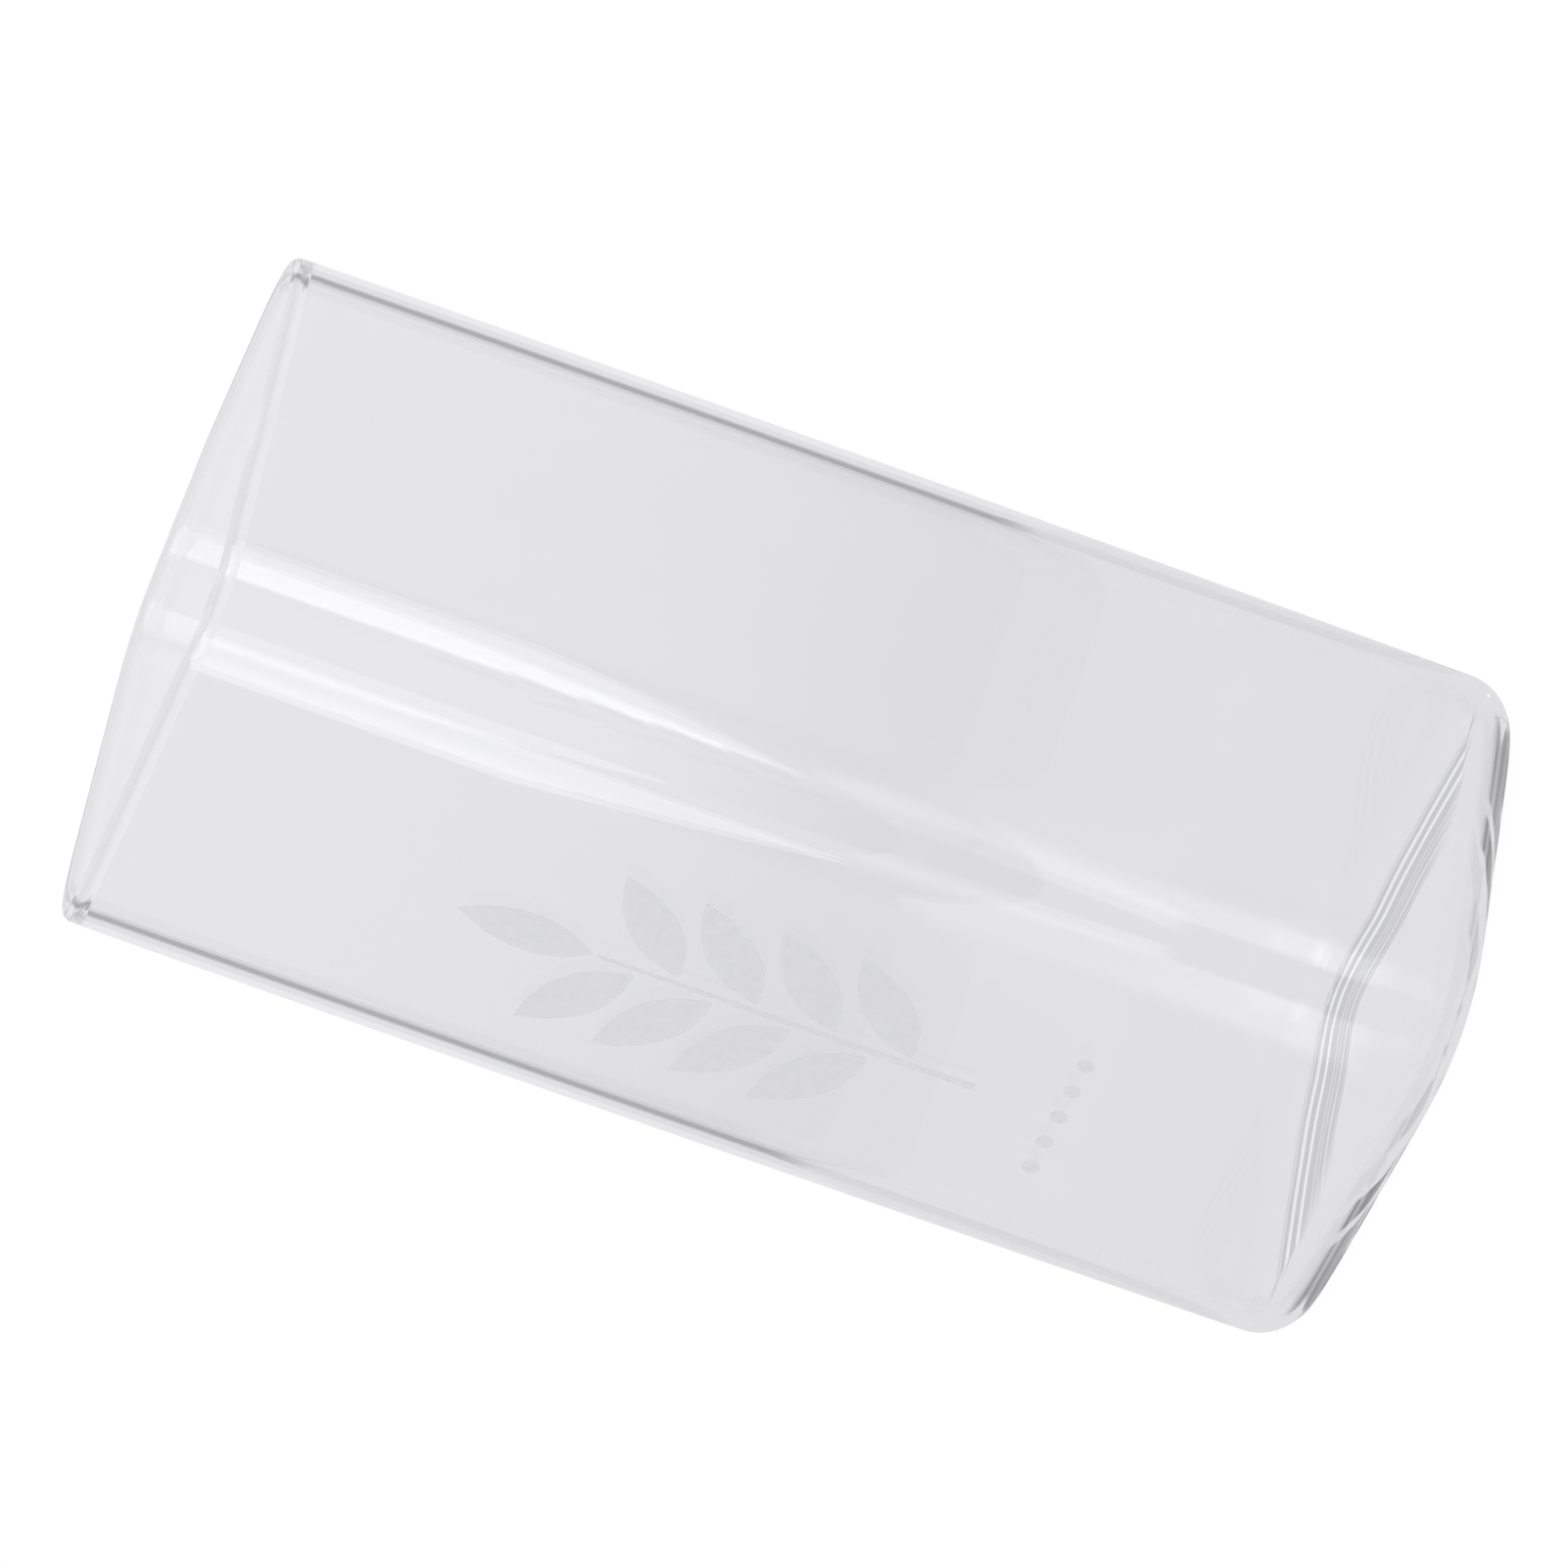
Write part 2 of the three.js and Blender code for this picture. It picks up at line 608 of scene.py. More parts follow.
def glass_material(colours):
    """Clear blown glass with upright cords of denser glass, seeds, wiped patches and soft waves."""
    material, tree, shader = new_material("blown_glass")
    shader.inputs["IOR"].default_value = GLASS_IOR
    shader.inputs["Transmission Weight"].default_value = 1.0
    cord_noise = stretched_noise(tree, CORD_STRETCH, CORD_SCALE, detail=2)
    cords = blend(tree, cord_noise, NOISE_SPAN, 0.0, 1.0)
    clear = mix_colours(tree, cords, colours.glass, colours.glass_cord)
    seeds = specks(tree, SEED_SCALE, SEED_SIZE)
    seeded = mix_colours(tree, seeds, clear, colours.seed)
    tree.links.new(seeded, shader.inputs["Base Color"])
    wiped = stretched_noise(tree, EVEN, WIPE_SCALE, detail=4)
    roughness = blend(tree, wiped, WIPE_SPAN, 0.0, WIPE_ROUGHNESS)
    tree.links.new(roughness, shader.inputs["Roughness"])
    waves = stretched_noise(tree, WAVE_STRETCH, WAVE_SCALE, detail=1)
    bump(tree, waves, WAVE_DEPTH, shader)
    return material


def ink_material(colours):
    """Thin matt fired ink: mottled, with fine grain and pinholes."""
    material, tree, shader = new_material("fired_ink")
    shader.inputs["Alpha"].default_value = INK_COVER
    mottle_noise = stretched_noise(tree, EVEN, MOTTLE_SCALE, detail=4)
    mottle = blend(tree, mottle_noise, NOISE_SPAN, 0.0, 1.0)
    mottled = mix_colours(tree, mottle, colours.ink, colours.ink_thin)
    pinholes = specks(tree, PINHOLE_SCALE, PINHOLE_SIZE)
    pierced = mix_colours(tree, pinholes, mottled, colours.ink_thin)
    tree.links.new(pierced, shader.inputs["Base Color"])
    roughness = choose(tree, mottle, *INK_ROUGHNESS)
    tree.links.new(roughness, shader.inputs["Roughness"])
    grain = stretched_noise(tree, EVEN, GRAIN_SCALE, detail=3)
    bump(tree, grain, GRAIN_DEPTH, shader)
    return material


class GLASSWARE_OT_vessel(bpy.types.Operator):
    """Model the blown glass"""

    bl_idname = "glassware.vessel"
    bl_label = "Vessel"

    # Counts of rows, cuts and steps
    corner_steps = 30
    flat_cuts = 23
    heel_steps = 40
    wall_rows = 36
    floor_rows = 38
    bead_rows = 6
    rim_steps = 8

    # The corners are made tighter by ease and then smoothed, so that they run into the flats
    ease = 0.83 * MM
    ease_factor = 0.5
    ease_rounds = 32

    # An edge longer than this share of a run counts as the whole run
    run_share = 0.9

    # Width of a row of the floor, and how far out the rows of its middle lie
    floor_row = 0.2 * MM
    dome_shares = (0.9, 0.8, 0.7, 0.6, 0.5, 0.4, 0.3, 0.2, 0.1)

    # Ripples lie between start and end along the skin, grow wider inwards and wander a little
    ripple_start = 1.5 * MM
    ripple_end = 13 * MM
    ripple_pitch = 1.1 * MM
    ripple_growth = 0.16
    ripple_at_sides = 0.25
    near_to_far = Vector((-1, 1)).normalized()
    wander = 0.12
    wander_along = 0.21 / MM
    wander_across = 0.17 / MM
    wander_phase = 1

    # Each dip of the rim: its place, its depth and how far it reaches along the rim
    rim_dips = (
        (Vector((25.3, -25.3, 0)) * MM, 0.4 * MM, 9 * MM),
        (Vector((30, -4, 0)) * MM, 0.3 * MM, 2.5 * MM),
        (Vector((-18, 30, 0)) * MM, 0.25 * MM, 12 * MM),
    )

    # How near to a dip's place the rim is gripped, the share of its width that each edge's
    # rounding takes, and the rise of a normal below which a face is upright
    rim_grip = 2.5 * MM
    rim_share = 0.49
    upright_normal = 0.5

    def execute(self, context):
        sizes = context.scene.vessel_sizes
        side = sizes.side - 2 * sizes.ink_seat
        outline = (side, sizes.corner - sizes.ink_seat)
        outside = self.shell("vessel", sizes, outline, 0, sizes.heel, (sizes.ring,))
        outline = (side - 2 * sizes.wall, sizes.inner_corner - sizes.ink_seat)
        rows = (self.floor_row,) * self.floor_rows
        within = self.shell("vessel_inside", sizes, outline, sizes.floor, sizes.inner_heel, rows)
        obj = self.join_at_rim(outside, within, sizes)
        self.ripple_heel(obj, sizes)
        self.swell_rim(obj, sizes)
        self.round_rim(obj, sizes)
        self.dip_rim(obj, sizes)
        bpy.ops.object.mode_set(mode="OBJECT")
        bpy.ops.object.shade_smooth()
        cover(obj, glass_material(context.scene.finish_colours))
        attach(obj, BODY)
        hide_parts(VESSEL_NODE)
        return {"FINISHED"}

    def shell(self, name, sizes, outline, base, heel, rows):
        """One skin of the glass: walls, heel, standing ring and middle, open at the top."""
        obj = self.section(name, outline)
        bpy.ops.transform.translate(value=(0, 0, base))
        rise = sizes.height - base
        bpy.ops.mesh.extrude_region_move(TRANSFORM_OT_translate={"value": (0, 0, rise)})
        bpy.ops.mesh.delete(type="ONLY_FACE")
        bpy.ops.mesh.select_all(action="SELECT")
        bpy.ops.mesh.normals_make_consistent(inside=False)
        pick(obj, "edges", level_edge(base))
        round_edges(heel, self.heel_steps)
        pick(obj, "edges", longer_than((rise - heel) * self.run_share))
        bpy.ops.mesh.subdivide(number_cuts=self.wall_rows)
        self.fill_floor(obj, rows)
        self.bow_walls(obj, sizes)
        bpy.ops.object.mode_set(mode="OBJECT")
        self.push_up(obj, sizes, base)
        return obj

    def section(self, name, outline):
        """A level section of one skin, with corners that ease into the flats, left selected."""
        side, corner = outline
        corner -= self.ease
        obj = rounded_square(name, side, corner, self.corner_steps)
        pick(obj, "edges", longer_than((side - 2 * corner) * self.run_share))
        bpy.ops.mesh.subdivide(number_cuts=self.flat_cuts)
        bpy.ops.mesh.select_all(action="SELECT")
        bpy.ops.mesh.vertices_smooth(factor=self.ease_factor, repeat=self.ease_rounds)
        return obj

    def fill_floor(self, obj, rows):
        """Lays rows of faces on the flat base, and then draws its middle in step by step."""
        pick(obj, "faces", many_sided)
        for row in rows:
            bpy.ops.mesh.inset(thickness=row)
        last = 1.0
        for share in self.dome_shares:
            bpy.ops.mesh.extrude_region_move()
            draw_in(share / last)
            last = share

    def push_up(self, obj, sizes, base):
        """Lifts the middle of the floor or the underside in one smooth swell."""
        reach = sizes.push_up_reach()
        flat = [vert for vert in obj.data.vertices if abs(vert.co.z - base) < NEAR]
        weights = {vert.index: swell(vert.co, reach) for vert in flat}
        displace(obj, "push_up", weights, sizes.push_up, "Z")

    def bow_walls(self, obj, sizes):
        """Draws the rim and the base in a little, as a blown wall is."""
        middle = sizes.height / 2
        rows = []
        for height in sorted(vert.co.z for vert in bmesh.from_edit_mesh(obj.data).verts):
            if not rows or height - rows[-1] > 2 * NEAR:
                rows.append(height)
        for row in rows:
            share = (row - middle) / middle
            pick(obj, "verts", in_row(row))
            draw_in(1 - 2 * sizes.bow * share ** 2 / sizes.side)

    def join_at_rim(self, outside, within, sizes):
        """Turns the inner skin to face the mouth and bridges the two skins at the rim."""
        edit_all(within)
        bpy.ops.mesh.flip_normals()
        select_only(outside)
        within.select_set(True)
        bpy.ops.object.join()
        bpy.ops.object.mode_set(mode="EDIT")
        pick(outside, "edges", level_edge(sizes.height))
        bpy.ops.mesh.bridge_edge_loops()
        bpy.ops.object.mode_set(mode="OBJECT")
        return outside

    def ripple_heel(self, obj, sizes):
        """Chill ripples round the inside of the heel, fainter at the two side corners."""
        top = sizes.floor + sizes.inner_heel
        weights = {}
        for vert in obj.data.vertices:
            if vert.normal.z < NEAR or not sizes.floor - NEAR < vert.co.z < top - NEAR:
                continue
            run = self.run_down(vert.co, top, sizes)
            share = (run - self.ripple_start) / (self.ripple_end - self.ripple_start)
            if 0 < share < 1:
                weights[vert.index] = self.ripple_height(vert.co, run, share)
        displace(obj, "ripple", weights, sizes.ripple, "NORMAL")

    def run_down(self, place, top, sizes):
        """Distance along the inner skin from the top of the heel to a place."""
        foot = sizes.side / 2 - sizes.wall - sizes.inner_heel
        drop = min((top - place.z) / sizes.inner_heel, 1)
        reach = max(abs(place.x), abs(place.y))
        return math.asin(drop) * sizes.inner_heel + max(foot - reach, 0)

    def ripple_height(self, place, run, share):
        """Height of the ripples at a place, from 0 to 1."""
        facing = abs(place.xy.normalized().dot(self.near_to_far))
        wobble = math.sin(self.wander_along * place.x + self.wander_phase)
        wobble += math.sin(self.wander_across * place.y)
        stretch = 1 + self.ripple_growth * run / self.ripple_pitch
        turn = math.log(stretch) / self.ripple_growth + self.wander * wobble
        spread = self.ripple_at_sides + (1 - self.ripple_at_sides) * facing ** 2
        return (1 + math.sin(2 * math.pi * turn)) / 2 * math.sin(math.pi * share) * spread

    def swell_rim(self, obj, sizes):
        """Swells the inner side of the rim into the mouth, and eases the swelling into the wall."""
        reach = sizes.side / 2 - sizes.wall
        shoulder = sizes.height - (sizes.wall + sizes.bead) / 2
        shares = [row / self.bead_rows for row in range(self.bead_rows + 1)]
        edit_all(obj)
        for share in shares:
            bpy.ops.mesh.select_all(action="SELECT")
            level = shoulder - sizes.bead_blend * share
            bpy.ops.mesh.bisect(plane_co=(0, 0, level), plane_no=(0, 0, 1))
        rows = [(sizes.height, 0.0)]
        rows += [(shoulder - sizes.bead_blend * share, share) for share in shares[:-1]]
        for level, share in rows:
            bulge = sizes.bead * (1 + math.cos(math.pi * share)) / 2
            pick(obj, "verts", inside_at(level))
            draw_in(1 - bulge / reach)

    def round_rim(self, obj, sizes):
        """Rounds the two edges of the rim into one bead."""
        at_top = level_edge(sizes.height)

        def rim_edge(edge):
            upright = (abs(face.normal.z) < self.upright_normal for face in edge.link_faces)
            return at_top(edge) and any(upright)

        pick(obj, "edges", rim_edge)
        round_edges((sizes.wall + sizes.bead) * self.rim_share, self.rim_steps)

    def dip_rim(self, obj, sizes):
        """Lowers the rim here and there, where the blown glass was cut unevenly."""
        for place, depth, reach in self.rim_dips:
            pick(obj, "verts", self.rim_near(place, sizes))
            bpy.ops.transform.translate(
                value=(0, 0, -depth),
                use_proportional_edit=True,
                proportional_edit_falloff="SMOOTH",
                proportional_size=reach,
            )

    def rim_near(self, place, sizes):
        """A test for points on top of the rim and close to a place."""
        crest = sizes.height - NEAR
        return lambda vert: vert.co.z > crest and (vert.co.xy - place.xy).length < self.rim_grip


class GLASSWARE_OT_print(bpy.types.Operator):
    """Lay the printed leaves on the wall as thin films of fired ink"""

    bl_idname = "glassware.print"
    bl_label = "Print"

    # Edges longer than this share of a film's height are cut, so that they follow the bowed wall
    long_share = 0.5
    cuts = 7

    def execute(self, context):
        sizes = context.scene.vessel_sizes
        ink = ink_material(context.scene.finish_colours)
        for name in PRINT_NODES:
            film = self.film(name, sizes)
            cover(film, ink)
            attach(film, BODY)
            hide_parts(name)
        return {"FINISHED"}

    def film(self, name, sizes):
        """A copy of one CAD film, pressed down to the thickness of fired ink on the bowed wall."""
        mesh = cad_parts[name].data.copy()
        film = bpy.data.objects.new(name.replace("print", "ink"), mesh)
        mesh.name = film.name
        bpy.context.collection.objects.link(film)
        edit_all(film)
        bpy.ops.mesh.remove_doubles(threshold=NEAR)
        low, high = (Vector(corner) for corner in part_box(name))
        thinner = sizes.ink_film / (high.y - low.y)
        bpy.ops.transform.resize(value=(1, thinner, 1), center_override=(0, high.y, 0))
        pick(film, "edges", longer_than((high.z - low.z) * self.long_share))
        bpy.ops.mesh.subdivide(number_cuts=self.cuts)
        bpy.ops.object.mode_set(mode="OBJECT")
        middle = sizes.height / 2
        weights = {vert.index: (vert.co.z / middle - 1) ** 2 for vert in mesh.vertices}
        displace(film, "bow", weights, sizes.bow, "Y")
        return film


class GLASSWARE_OT_stage(bpy.types.Operator):
    """Set up the table, the room, the lamps and the camera"""

    bl_idname = "glassware.stage"
    bl_label = "Stage"

    # Brightness that shows as clean white
    white = 1.04

    # Depth at which a ray has been turned back once, which counts one more in the open room
    turned_at_table = 1
    turned_in_room = 2

    # The table top, and the pad on it that follows the pushed-up floor
    table_corner = 0.06
    table_steps = 8
    table_lift = 0.03 * MM
    table_roughness = 0.3
    table_glow = 0.92
    pad_cells = 48
    pad_lift = 0.01 * MM

    # Distances out from the axis, along rounded squares, where the table's painted light and shade
    # change under the glass
    squareness = 6.0
    far_heel_inner = (0.0110, 0.0150)
    ring_inner = (0.0185, 0.0205)
    ring_outer = (0.0258, 0.0272)
    foot_outer = (0.0265, 0.030)

    # Depths behind the axis where the painted shade under the far heel starts, and painted light
    # lines in the painted shade under the two heels
    far_half = (0.000, 0.008)
    painted_far_lines = 620
    far_line_span = (0.50, 0.66)
    painted_ring_lines = 900
    ring_line_shade = 0.55

    # The near heel darkens the table only in light that has crossed fewer skins than this
    heel_crossings = 3.0

    # Streaks of shade under the near heel: depth behind the axis in millimetres, and strength
    streak_depths = (-0.030, 0.008)
    foot_streaks = (
        (-27.5, 0.0), (-26.5, 0.45), (-23.5, 0.45), (-22.5, 0.0), (-18.4, 0.0), (-17.8, 1.0),
        (-14.8, 1.0), (-14.2, 0.0), (-13.2, 0.0), (-12.6, 0.8), (-3.0, 1.0), (1.0, 0.0),
    )

    # Bearings in degrees between which the gaps beside the backdrop start and end
    gap_bearings = (58, 50, 40, 31)

    # Distances out at which the table darkens towards the gaps, first faintly
    faint_side = (0.035, 0.06)
    faint_share = 0.3
    full_side = (0.36, 0.43)

    # Pools of light: sines of the bearings where each edge starts and ends, and the light past it
    pool_edges = (
        (-0.90, -0.75, 1.0), (-0.36, -0.32, 0.0), (0.22, 0.26, 1.0), (0.50, 0.66, 0.0),
    )
    pool_ahead = (-0.3, -0.2)
    pool_start = (0.045, 0.075)
    pool_fade = (0.06, 0.25)
    pool_peak = 2

    # Rise of a line of sight at which each part of the room starts, and the sector under the camera
    side_foot = (-0.16, -0.08)
    backdrop_foot = (-0.155, -0.12)
    front_foot = (-0.160, -0.110)
    front_sector = (-0.965, -0.925)
    ceiling_foot = (0.35, 0.6)

    # Each lamp: name, bearing and roll in degrees, height of its foot, share of the strength
    lamps = (
        ("lamp_left", -43, -7.9, -0.038, 1.2),
        ("lamp_right", 31, 6.8, -0.028, 0.78),
    )
    lamp_distance = 0.9
    lamp_width = 0.45
    lamp_tall = 0.81

    sensor_width = 36
    clip_end = 50

    def execute(self, context):
        scene = context.scene
        studio = scene.studio_settings
        back = Vector((-math.sin(studio.turn), math.cos(studio.turn), 0))
        right = Vector((math.cos(studio.turn), math.sin(studio.turn), 0))
        self.table(scene, studio, back, right)
        self.room(scene, studio, back)
        for lamp in self.lamps:
            self.lamp(studio, scene.finish_colours.daylight, back, *lamp)
        self.camera(scene, studio, back, right)
        scene.view_settings.view_transform = "Standard"
        scene.cycles.max_bounces = studio.bounces
        scene.cycles.transmission_bounces = studio.bounces
        scene.cycles.glossy_bounces = studio.bounces
        return {"FINISHED"}

    def table(self, scene, studio, back, right):
        """A pale table top that shows white and keeps a soft shadow."""
        top = rounded_square("table", studio.table_size, self.table_corner, self.table_steps)
        bpy.ops.mesh.select_all(action="SELECT")
        bpy.ops.transform.rotate(value=-studio.turn, orient_axis="Z", center_override=ORIGIN)
        bpy.ops.transform.translate(value=(0, 0, self.table_lift))
        bpy.ops.object.mode_set(mode="OBJECT")
        pad = self.pad(scene.vessel_sizes)
        material = self.table_material(scene, studio, back, right)
        for piece in (top, pad):
            piece.data.materials.append(material)

    def pad(self, sizes):
        """The middle of the table top, raised under the pushed-up floor of the glass."""
        reach = sizes.push_up_reach()
        cells = self.pad_cells
        clear_selection()
        bpy.ops.mesh.primitive_grid_add(x_subdivisions=cells, y_subdivisions=cells, size=2 * reach)
        pad = bpy.context.object
        pad.name = "pad"
        weights = {vert.index: swell(vert.co, reach) for vert in pad.data.vertices}
        displace(pad, "push_up", weights, sizes.push_up, "Z")
        edit_all(pad)
        bpy.ops.transform.translate(value=(0, 0, self.table_lift + self.pad_lift))
        bpy.ops.object.mode_set(mode="OBJECT")
        return pad

    def table_material(self, scene, studio, back, right):
        """White to the camera, with shades and pools of light where the glass mirrors the table."""
        material, tree, surface = new_material("white_table")
        surface.inputs["Base Color"].default_value = scene.finish_colours.table
        surface.inputs["Roughness"].default_value = self.table_roughness
        where = tree.nodes.new("ShaderNodeTexCoord").outputs["Object"]
        path = tree.nodes.new("ShaderNodeLightPath")
        camera_ray = path.outputs["Is Camera Ray"]
        crossings = path.outputs["Transmission Depth"]
        mirrored = turned_back(tree, path, self.turned_at_table)
        depth = vector_math(tree, "DOT_PRODUCT", where, back)
        out = self.distance_out(tree, where)

        heel_only = calculate(tree, "LESS_THAN", crossings, self.heel_crossings)
        lit = choose(tree, heel_only, self.under_floor(tree, out, depth, studio), studio.foot_light)
        ring = product(tree, self.foot_ring(tree, out, depth), heel_only, mirrored)
        shaded = choose(tree, ring, lit, studio.foot_shade)
        sides = product(tree, self.side_fade(tree, where, back), mirrored)
        faded = choose(tree, sides, shaded, studio.gap)
        pools = self.light_pools(tree, where, scene.vessel_sizes, studio, back, right)
        through = calculate(tree, "ADD", faded, product(tree, pools, mirrored))

        glow = tree.nodes.new("ShaderNodeEmission")
        daylight = scene.finish_colours.daylight
        glow.inputs["Color"].default_value = daylight
        level = choose(tree, camera_ray, through, self.white)
        feed(tree, calculate(tree, "DIVIDE", level, daylight[0]), glow.inputs["Strength"])
        seen = calculate(tree, "MAXIMUM", camera_ray, path.outputs["Is Glossy Ray"])
        seen = calculate(tree, "MAXIMUM", seen, path.outputs["Is Transmission Ray"])
        mix = tree.nodes.new("ShaderNodeMixShader")
        feed(tree, product(tree, seen, self.table_glow), mix.inputs["Fac"])
        tree.links.new(surface.outputs["BSDF"], mix.inputs[1])
        tree.links.new(glow.outputs["Emission"], mix.inputs[2])
        tree.links.new(mix.outputs["Shader"], tree.nodes["Material Output"].inputs["Surface"])
        return material

    def distance_out(self, tree, where):
        """Distance from the axis, counted along rounded squares."""
        parts = tree.nodes.new("ShaderNodeSeparateXYZ")
        tree.links.new(where, parts.inputs["Vector"])
        powers = []
        for axis in "XY":
            reach = calculate(tree, "ABSOLUTE", parts.outputs[axis])
            powers.append(calculate(tree, "POWER", reach, self.squareness))
        return calculate(tree, "POWER", calculate(tree, "ADD", *powers), 1 / self.squareness)

    def under_floor(self, tree, out, depth, studio):
        """Brightness of the table under the floor: painted shade under the far heel, with fine
        painted light lines in it.
        """
        lines = fine_lines(tree, out, self.painted_far_lines)
        far = blend(tree, lines, self.far_line_span, studio.far_shade, 1.0)
        far = blend(tree, depth, self.far_half, studio.under_glass, far)
        far = blend(tree, out, self.far_heel_inner, studio.under_glass, far)
        return blend(tree, out, self.foot_outer, far, studio.backdrop - studio.low_shade)

    def foot_ring(self, tree, out, depth):
        """The shade under the near heel, from 0 to 1, in streaks and fine lines."""
        ring = blend(tree, out, self.ring_inner, 0.0, 1.0)
        ring = blend(tree, out, self.ring_outer, ring, 0.0)
        low, high = self.streak_depths
        along = tree.nodes.new("ShaderNodeMapRange")
        feed(tree, depth, along.inputs["Value"])
        feed(tree, low, along.inputs["From Min"])
        feed(tree, high, along.inputs["From Max"])
        streaks = tree.nodes.new("ShaderNodeValToRGB")
        tree.links.new(along.outputs["Result"], streaks.inputs["Fac"])
        ramp = streaks.color_ramp
        ramp.interpolation = "EASE"
        for place, shade in self.foot_streaks:
            stop = ramp.elements.new((place * MM - low) / (high - low))
            stop.color = (shade, shade, shade, 1)
        ramp.elements.remove(ramp.elements[0])
        ramp.elements.remove(ramp.elements[-1])
        lines = fine_lines(tree, out, self.painted_ring_lines)
        fine = blend(tree, lines, NOISE_SPAN, self.ring_line_shade, 1.0)
        return product(tree, ring, streaks.outputs["Color"], fine)

    def by_bearing(self, tree, facing, side, gap, pale):
        """A value for the side walls, the gaps and the backdrop, before the glass and behind it."""
        either = calculate(tree, "ABSOLUTE", facing)
        cosines = [math.cos(math.radians(degrees)) for degrees in self.gap_bearings]
        beside = blend(tree, either, cosines[:2], side, gap)
        return blend(tree, either, cosines[2:], beside, pale)

    def side_fade(self, tree, where, back):
        """How far the table's painted shade has darkened it towards the gaps at its two sides, from
        0 to 1.
        """
        unit = vector_math(tree, "NORMALIZE", where)
        facing = vector_math(tree, "DOT_PRODUCT", unit, back)
        share = self.by_bearing(tree, facing, 0.0, 1.0, 0.0)
        away = vector_math(tree, "LENGTH", where)
        fade = blend(tree, away, self.faint_side, 0.0, self.faint_share)
        fade = blend(tree, away, self.full_side, fade, 1.0)
        return product(tree, share, fade)

    def light_pools(self, tree, where, sizes, studio, back, right):
        """Painted pools of lamp light on the table, in two wedges that open from the near corner.
        """
        corner_axis = math.sqrt(2) * (sizes.side / 2 - sizes.corner)
        near_corner = -back * (corner_axis + sizes.corner / 2)
        away = vector_math(tree, "SUBTRACT", where, near_corner)
        length = vector_math(tree, "LENGTH", away)
        unit = vector_math(tree, "NORMALIZE", away)
        sine = vector_math(tree, "DOT_PRODUCT", unit, right)
        ahead = vector_math(tree, "DOT_PRODUCT", unit, back)
        wedges = 0.0
        for start, end, light in self.pool_edges:
            wedges = blend(tree, sine, (start, end), wedges, light)
        wedges = blend(tree, ahead, self.pool_ahead, wedges, 0.0)
        strength = blend(tree, length, self.pool_fade, self.pool_peak * studio.pools, studio.pools)
        strength = blend(tree, length, self.pool_start, 0.0, strength)
        return product(tree, wedges, strength)

    def room(self, scene, studio, back):
        """A pale room, with darker gaps, walls and a front that only mirrored light shows."""
        world = bpy.data.worlds.new("studio_room")
        scene.world = world
        world.use_nodes = True
        tree = world.node_tree
        tree.nodes.clear()
        where = tree.nodes.new("ShaderNodeTexCoord").outputs["Generated"]
        path = tree.nodes.new("ShaderNodeLightPath")
        parts = tree.nodes.new("ShaderNodeSeparateXYZ")
        tree.links.new(where, parts.inputs["Vector"])
        height = parts.outputs["Z"]
        level = vector_math(tree, "MULTIPLY", where, (1, 1, 0))
        facing = vector_math(tree, "DOT_PRODUCT", vector_math(tree, "NORMALIZE", level), back)

        walls = blend(tree, height, self.side_foot, studio.side_low, studio.backdrop)
        low = studio.backdrop - studio.low_shade
        pale = blend(tree, height, self.backdrop_foot, low, studio.backdrop)
        surround = self.by_bearing(tree, facing, walls, studio.gap, pale)
        front = blend(tree, height, self.front_foot, studio.front, self.white)
        mirrored = blend(tree, facing, self.front_sector, front, surround)
        turned = turned_back(tree, path, self.turned_in_room)
        backdrop = choose(tree, turned, pale, mirrored)
        ceiling = blend(tree, height, self.ceiling_foot, backdrop, studio.overhead)
        strength = calculate(tree, "MAXIMUM", ceiling, path.outputs["Is Camera Ray"])

        background = tree.nodes.new("ShaderNodeBackground")
        daylight = scene.finish_colours.daylight
        background.inputs["Color"].default_value = daylight
        feed(tree, calculate(tree, "DIVIDE", strength, daylight[0]), background.inputs["Strength"])
        output = tree.nodes.new("ShaderNodeOutputWorld")
        tree.links.new(background.outputs["Background"], output.inputs["Surface"])

    def lamp(self, studio, daylight, back, name, bearing, roll, foot, share):
        """A soft lamp beside the camera, turned to the glass and rolled a little."""
        towards = Matrix.Rotation(math.radians(bearing), 3, "Z") @ -back
        data = bpy.data.lights.new(name, "AREA")
        data.shape = "RECTANGLE"
        data.size = self.lamp_width
        data.size_y = self.lamp_tall
        data.color = daylight[:3]
        face_area = self.lamp_width * self.lamp_tall
        data.energy = share * studio.lamp_strength * math.pi * face_area / daylight[0]
        lamp = bpy.data.objects.new(name, data)
        bpy.context.collection.objects.link(lamp)
        place = towards * self.lamp_distance + Vector((0, 0, foot + self.lamp_tall / 2))
        upright = towards.to_track_quat("Z", "Y").to_matrix()
        rolled = upright @ Matrix.Rotation(math.radians(roll), 3, "Z")
        lamp.matrix_world = Matrix.Translation(place) @ rolled.to_4x4()
        lamp.visible_camera = False

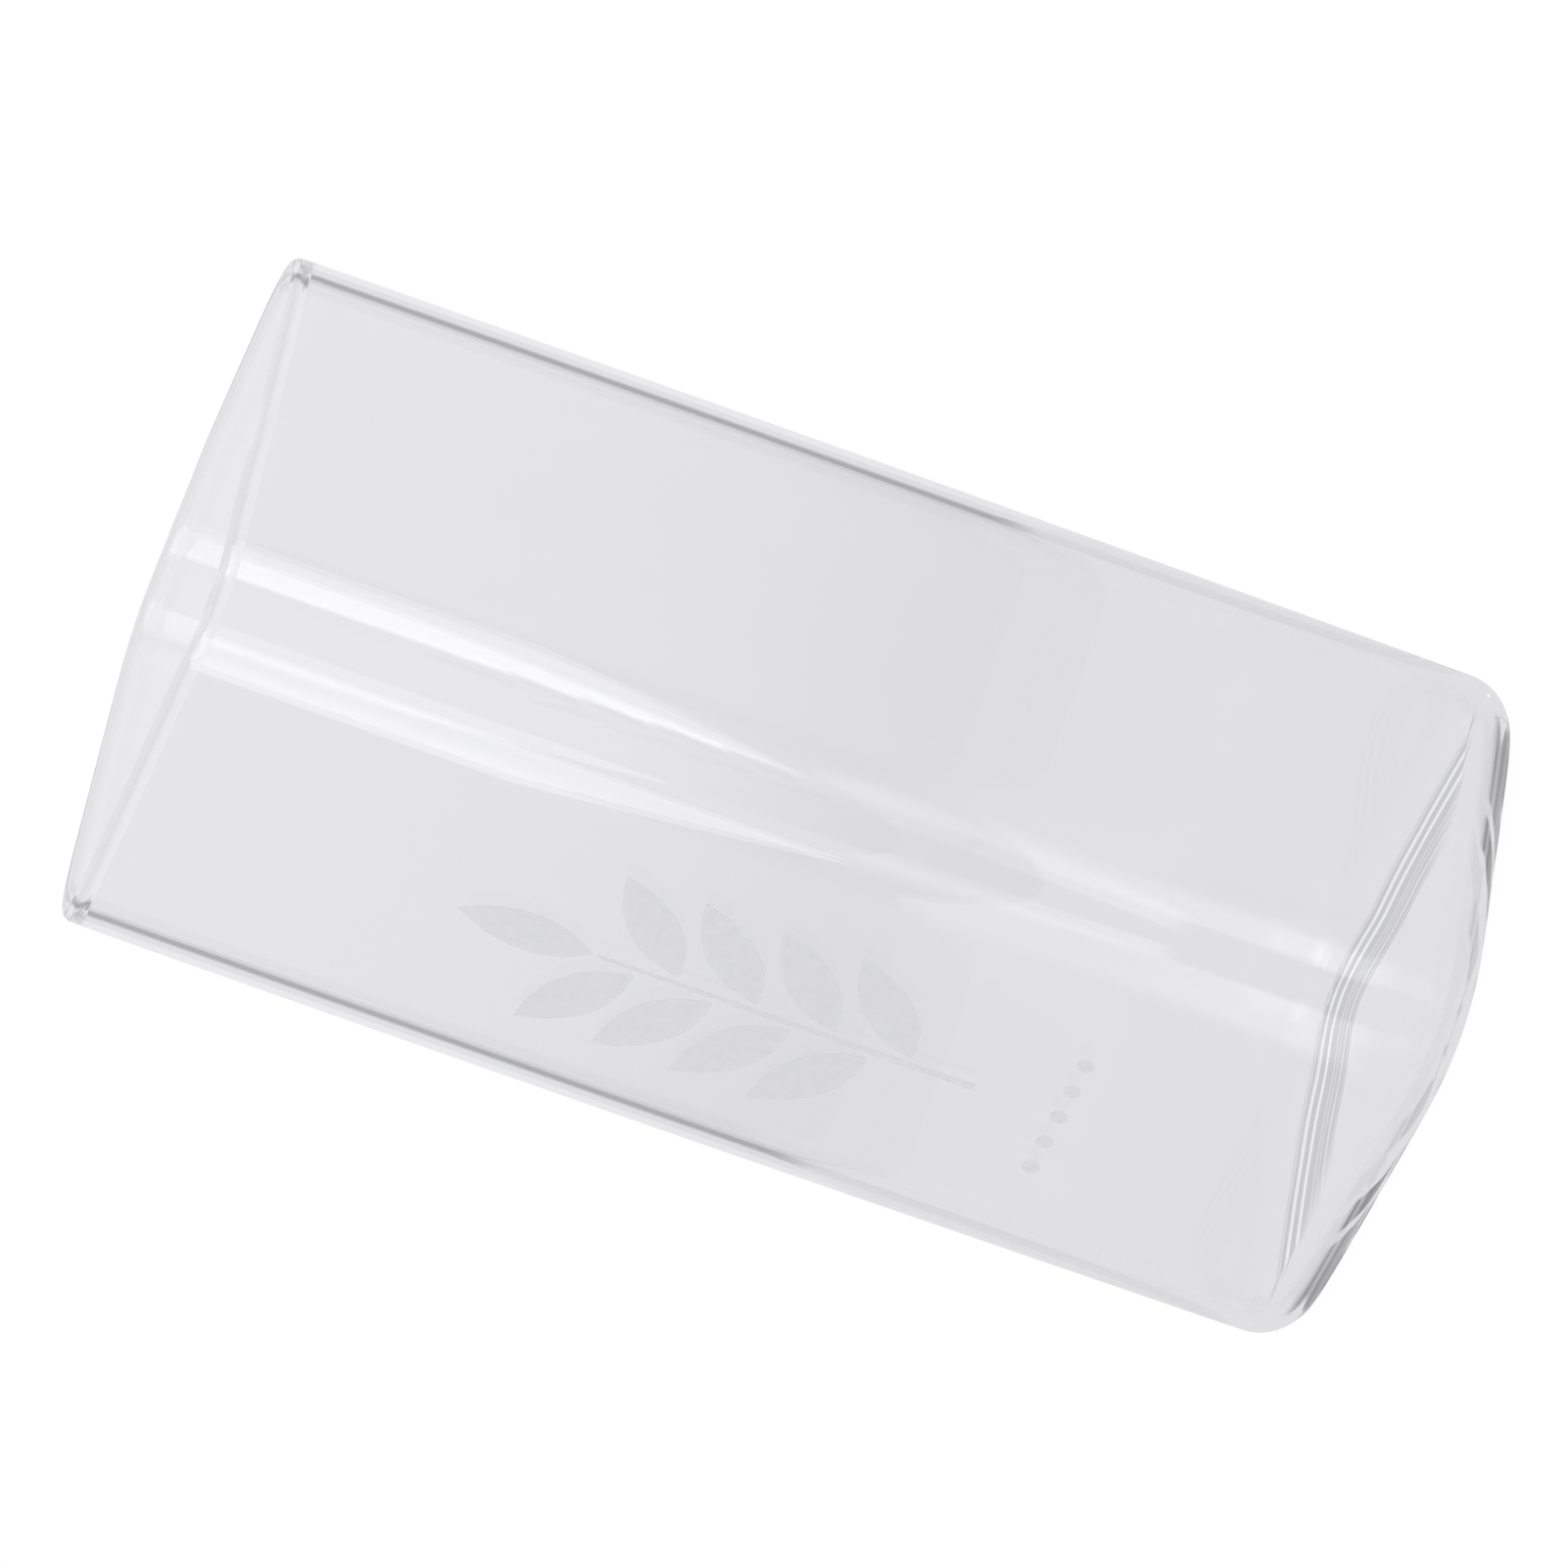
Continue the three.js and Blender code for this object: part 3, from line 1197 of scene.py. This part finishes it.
    def camera(self, scene, studio, back, right):
        """The camera, rolled as in the photograph."""
        data = bpy.data.cameras.new("camera")
        data.lens = studio.lens
        data.sensor_width = self.sensor_width
        data.clip_end = self.clip_end
        camera = bpy.data.objects.new("camera", data)
        bpy.context.collection.objects.link(camera)
        eye = -back * studio.distance + Vector((0, 0, studio.camera_height))
        aim = right * studio.aim_side + Vector((0, 0, studio.aim_height))
        level = (aim - eye).to_track_quat("-Z", "Y").to_matrix()
        rolled = level @ Matrix.Rotation(studio.roll, 3, "Z")
        camera.matrix_world = Matrix.Translation(eye) @ rolled.to_4x4()
        scene.camera = camera


class GLASSWARE_PT_panel(bpy.types.Panel):
    """Sidebar with the steps that make the glass"""

    bl_idname = "GLASSWARE_PT_panel"
    bl_label = "Drinking Glass"
    bl_space_type = "VIEW_3D"
    bl_region_type = "UI"
    bl_category = "Drinking Glass"

    def draw(self, context):
        layout = self.layout
        scene = context.scene
        for settings in (scene.vessel_sizes, scene.finish_colours, scene.studio_settings):
            for name in settings.__annotations__:
                layout.prop(settings, name)
        layout.operator(GLASSWARE_OT_vessel.bl_idname)
        layout.operator(GLASSWARE_OT_print.bl_idname)
        layout.operator(GLASSWARE_OT_stage.bl_idname)


CLASSES = (
    VesselSizes,
    FinishColours,
    StudioSettings,
    GLASSWARE_OT_vessel,
    GLASSWARE_OT_print,
    GLASSWARE_OT_stage,
    GLASSWARE_PT_panel,
)


def register():
    """Registers the classes and hangs the settings on the scene."""
    for cls in CLASSES:
        bpy.utils.register_class(cls)
    bpy.types.Scene.vessel_sizes = bpy.props.PointerProperty(type=VesselSizes)
    bpy.types.Scene.finish_colours = bpy.props.PointerProperty(type=FinishColours)
    bpy.types.Scene.studio_settings = bpy.props.PointerProperty(type=StudioSettings)


def unregister():
    """Takes the settings off the scene and unregisters the classes."""
    del bpy.types.Scene.studio_settings
    del bpy.types.Scene.finish_colours
    del bpy.types.Scene.vessel_sizes
    for cls in reversed(CLASSES):
        bpy.utils.unregister_class(cls)


def main():
    """Makes every piece and the stage."""
    register()
    bpy.ops.glassware.vessel()
    bpy.ops.glassware.print()
    bpy.ops.glassware.stage()


if __name__ == "__main__":
    main()
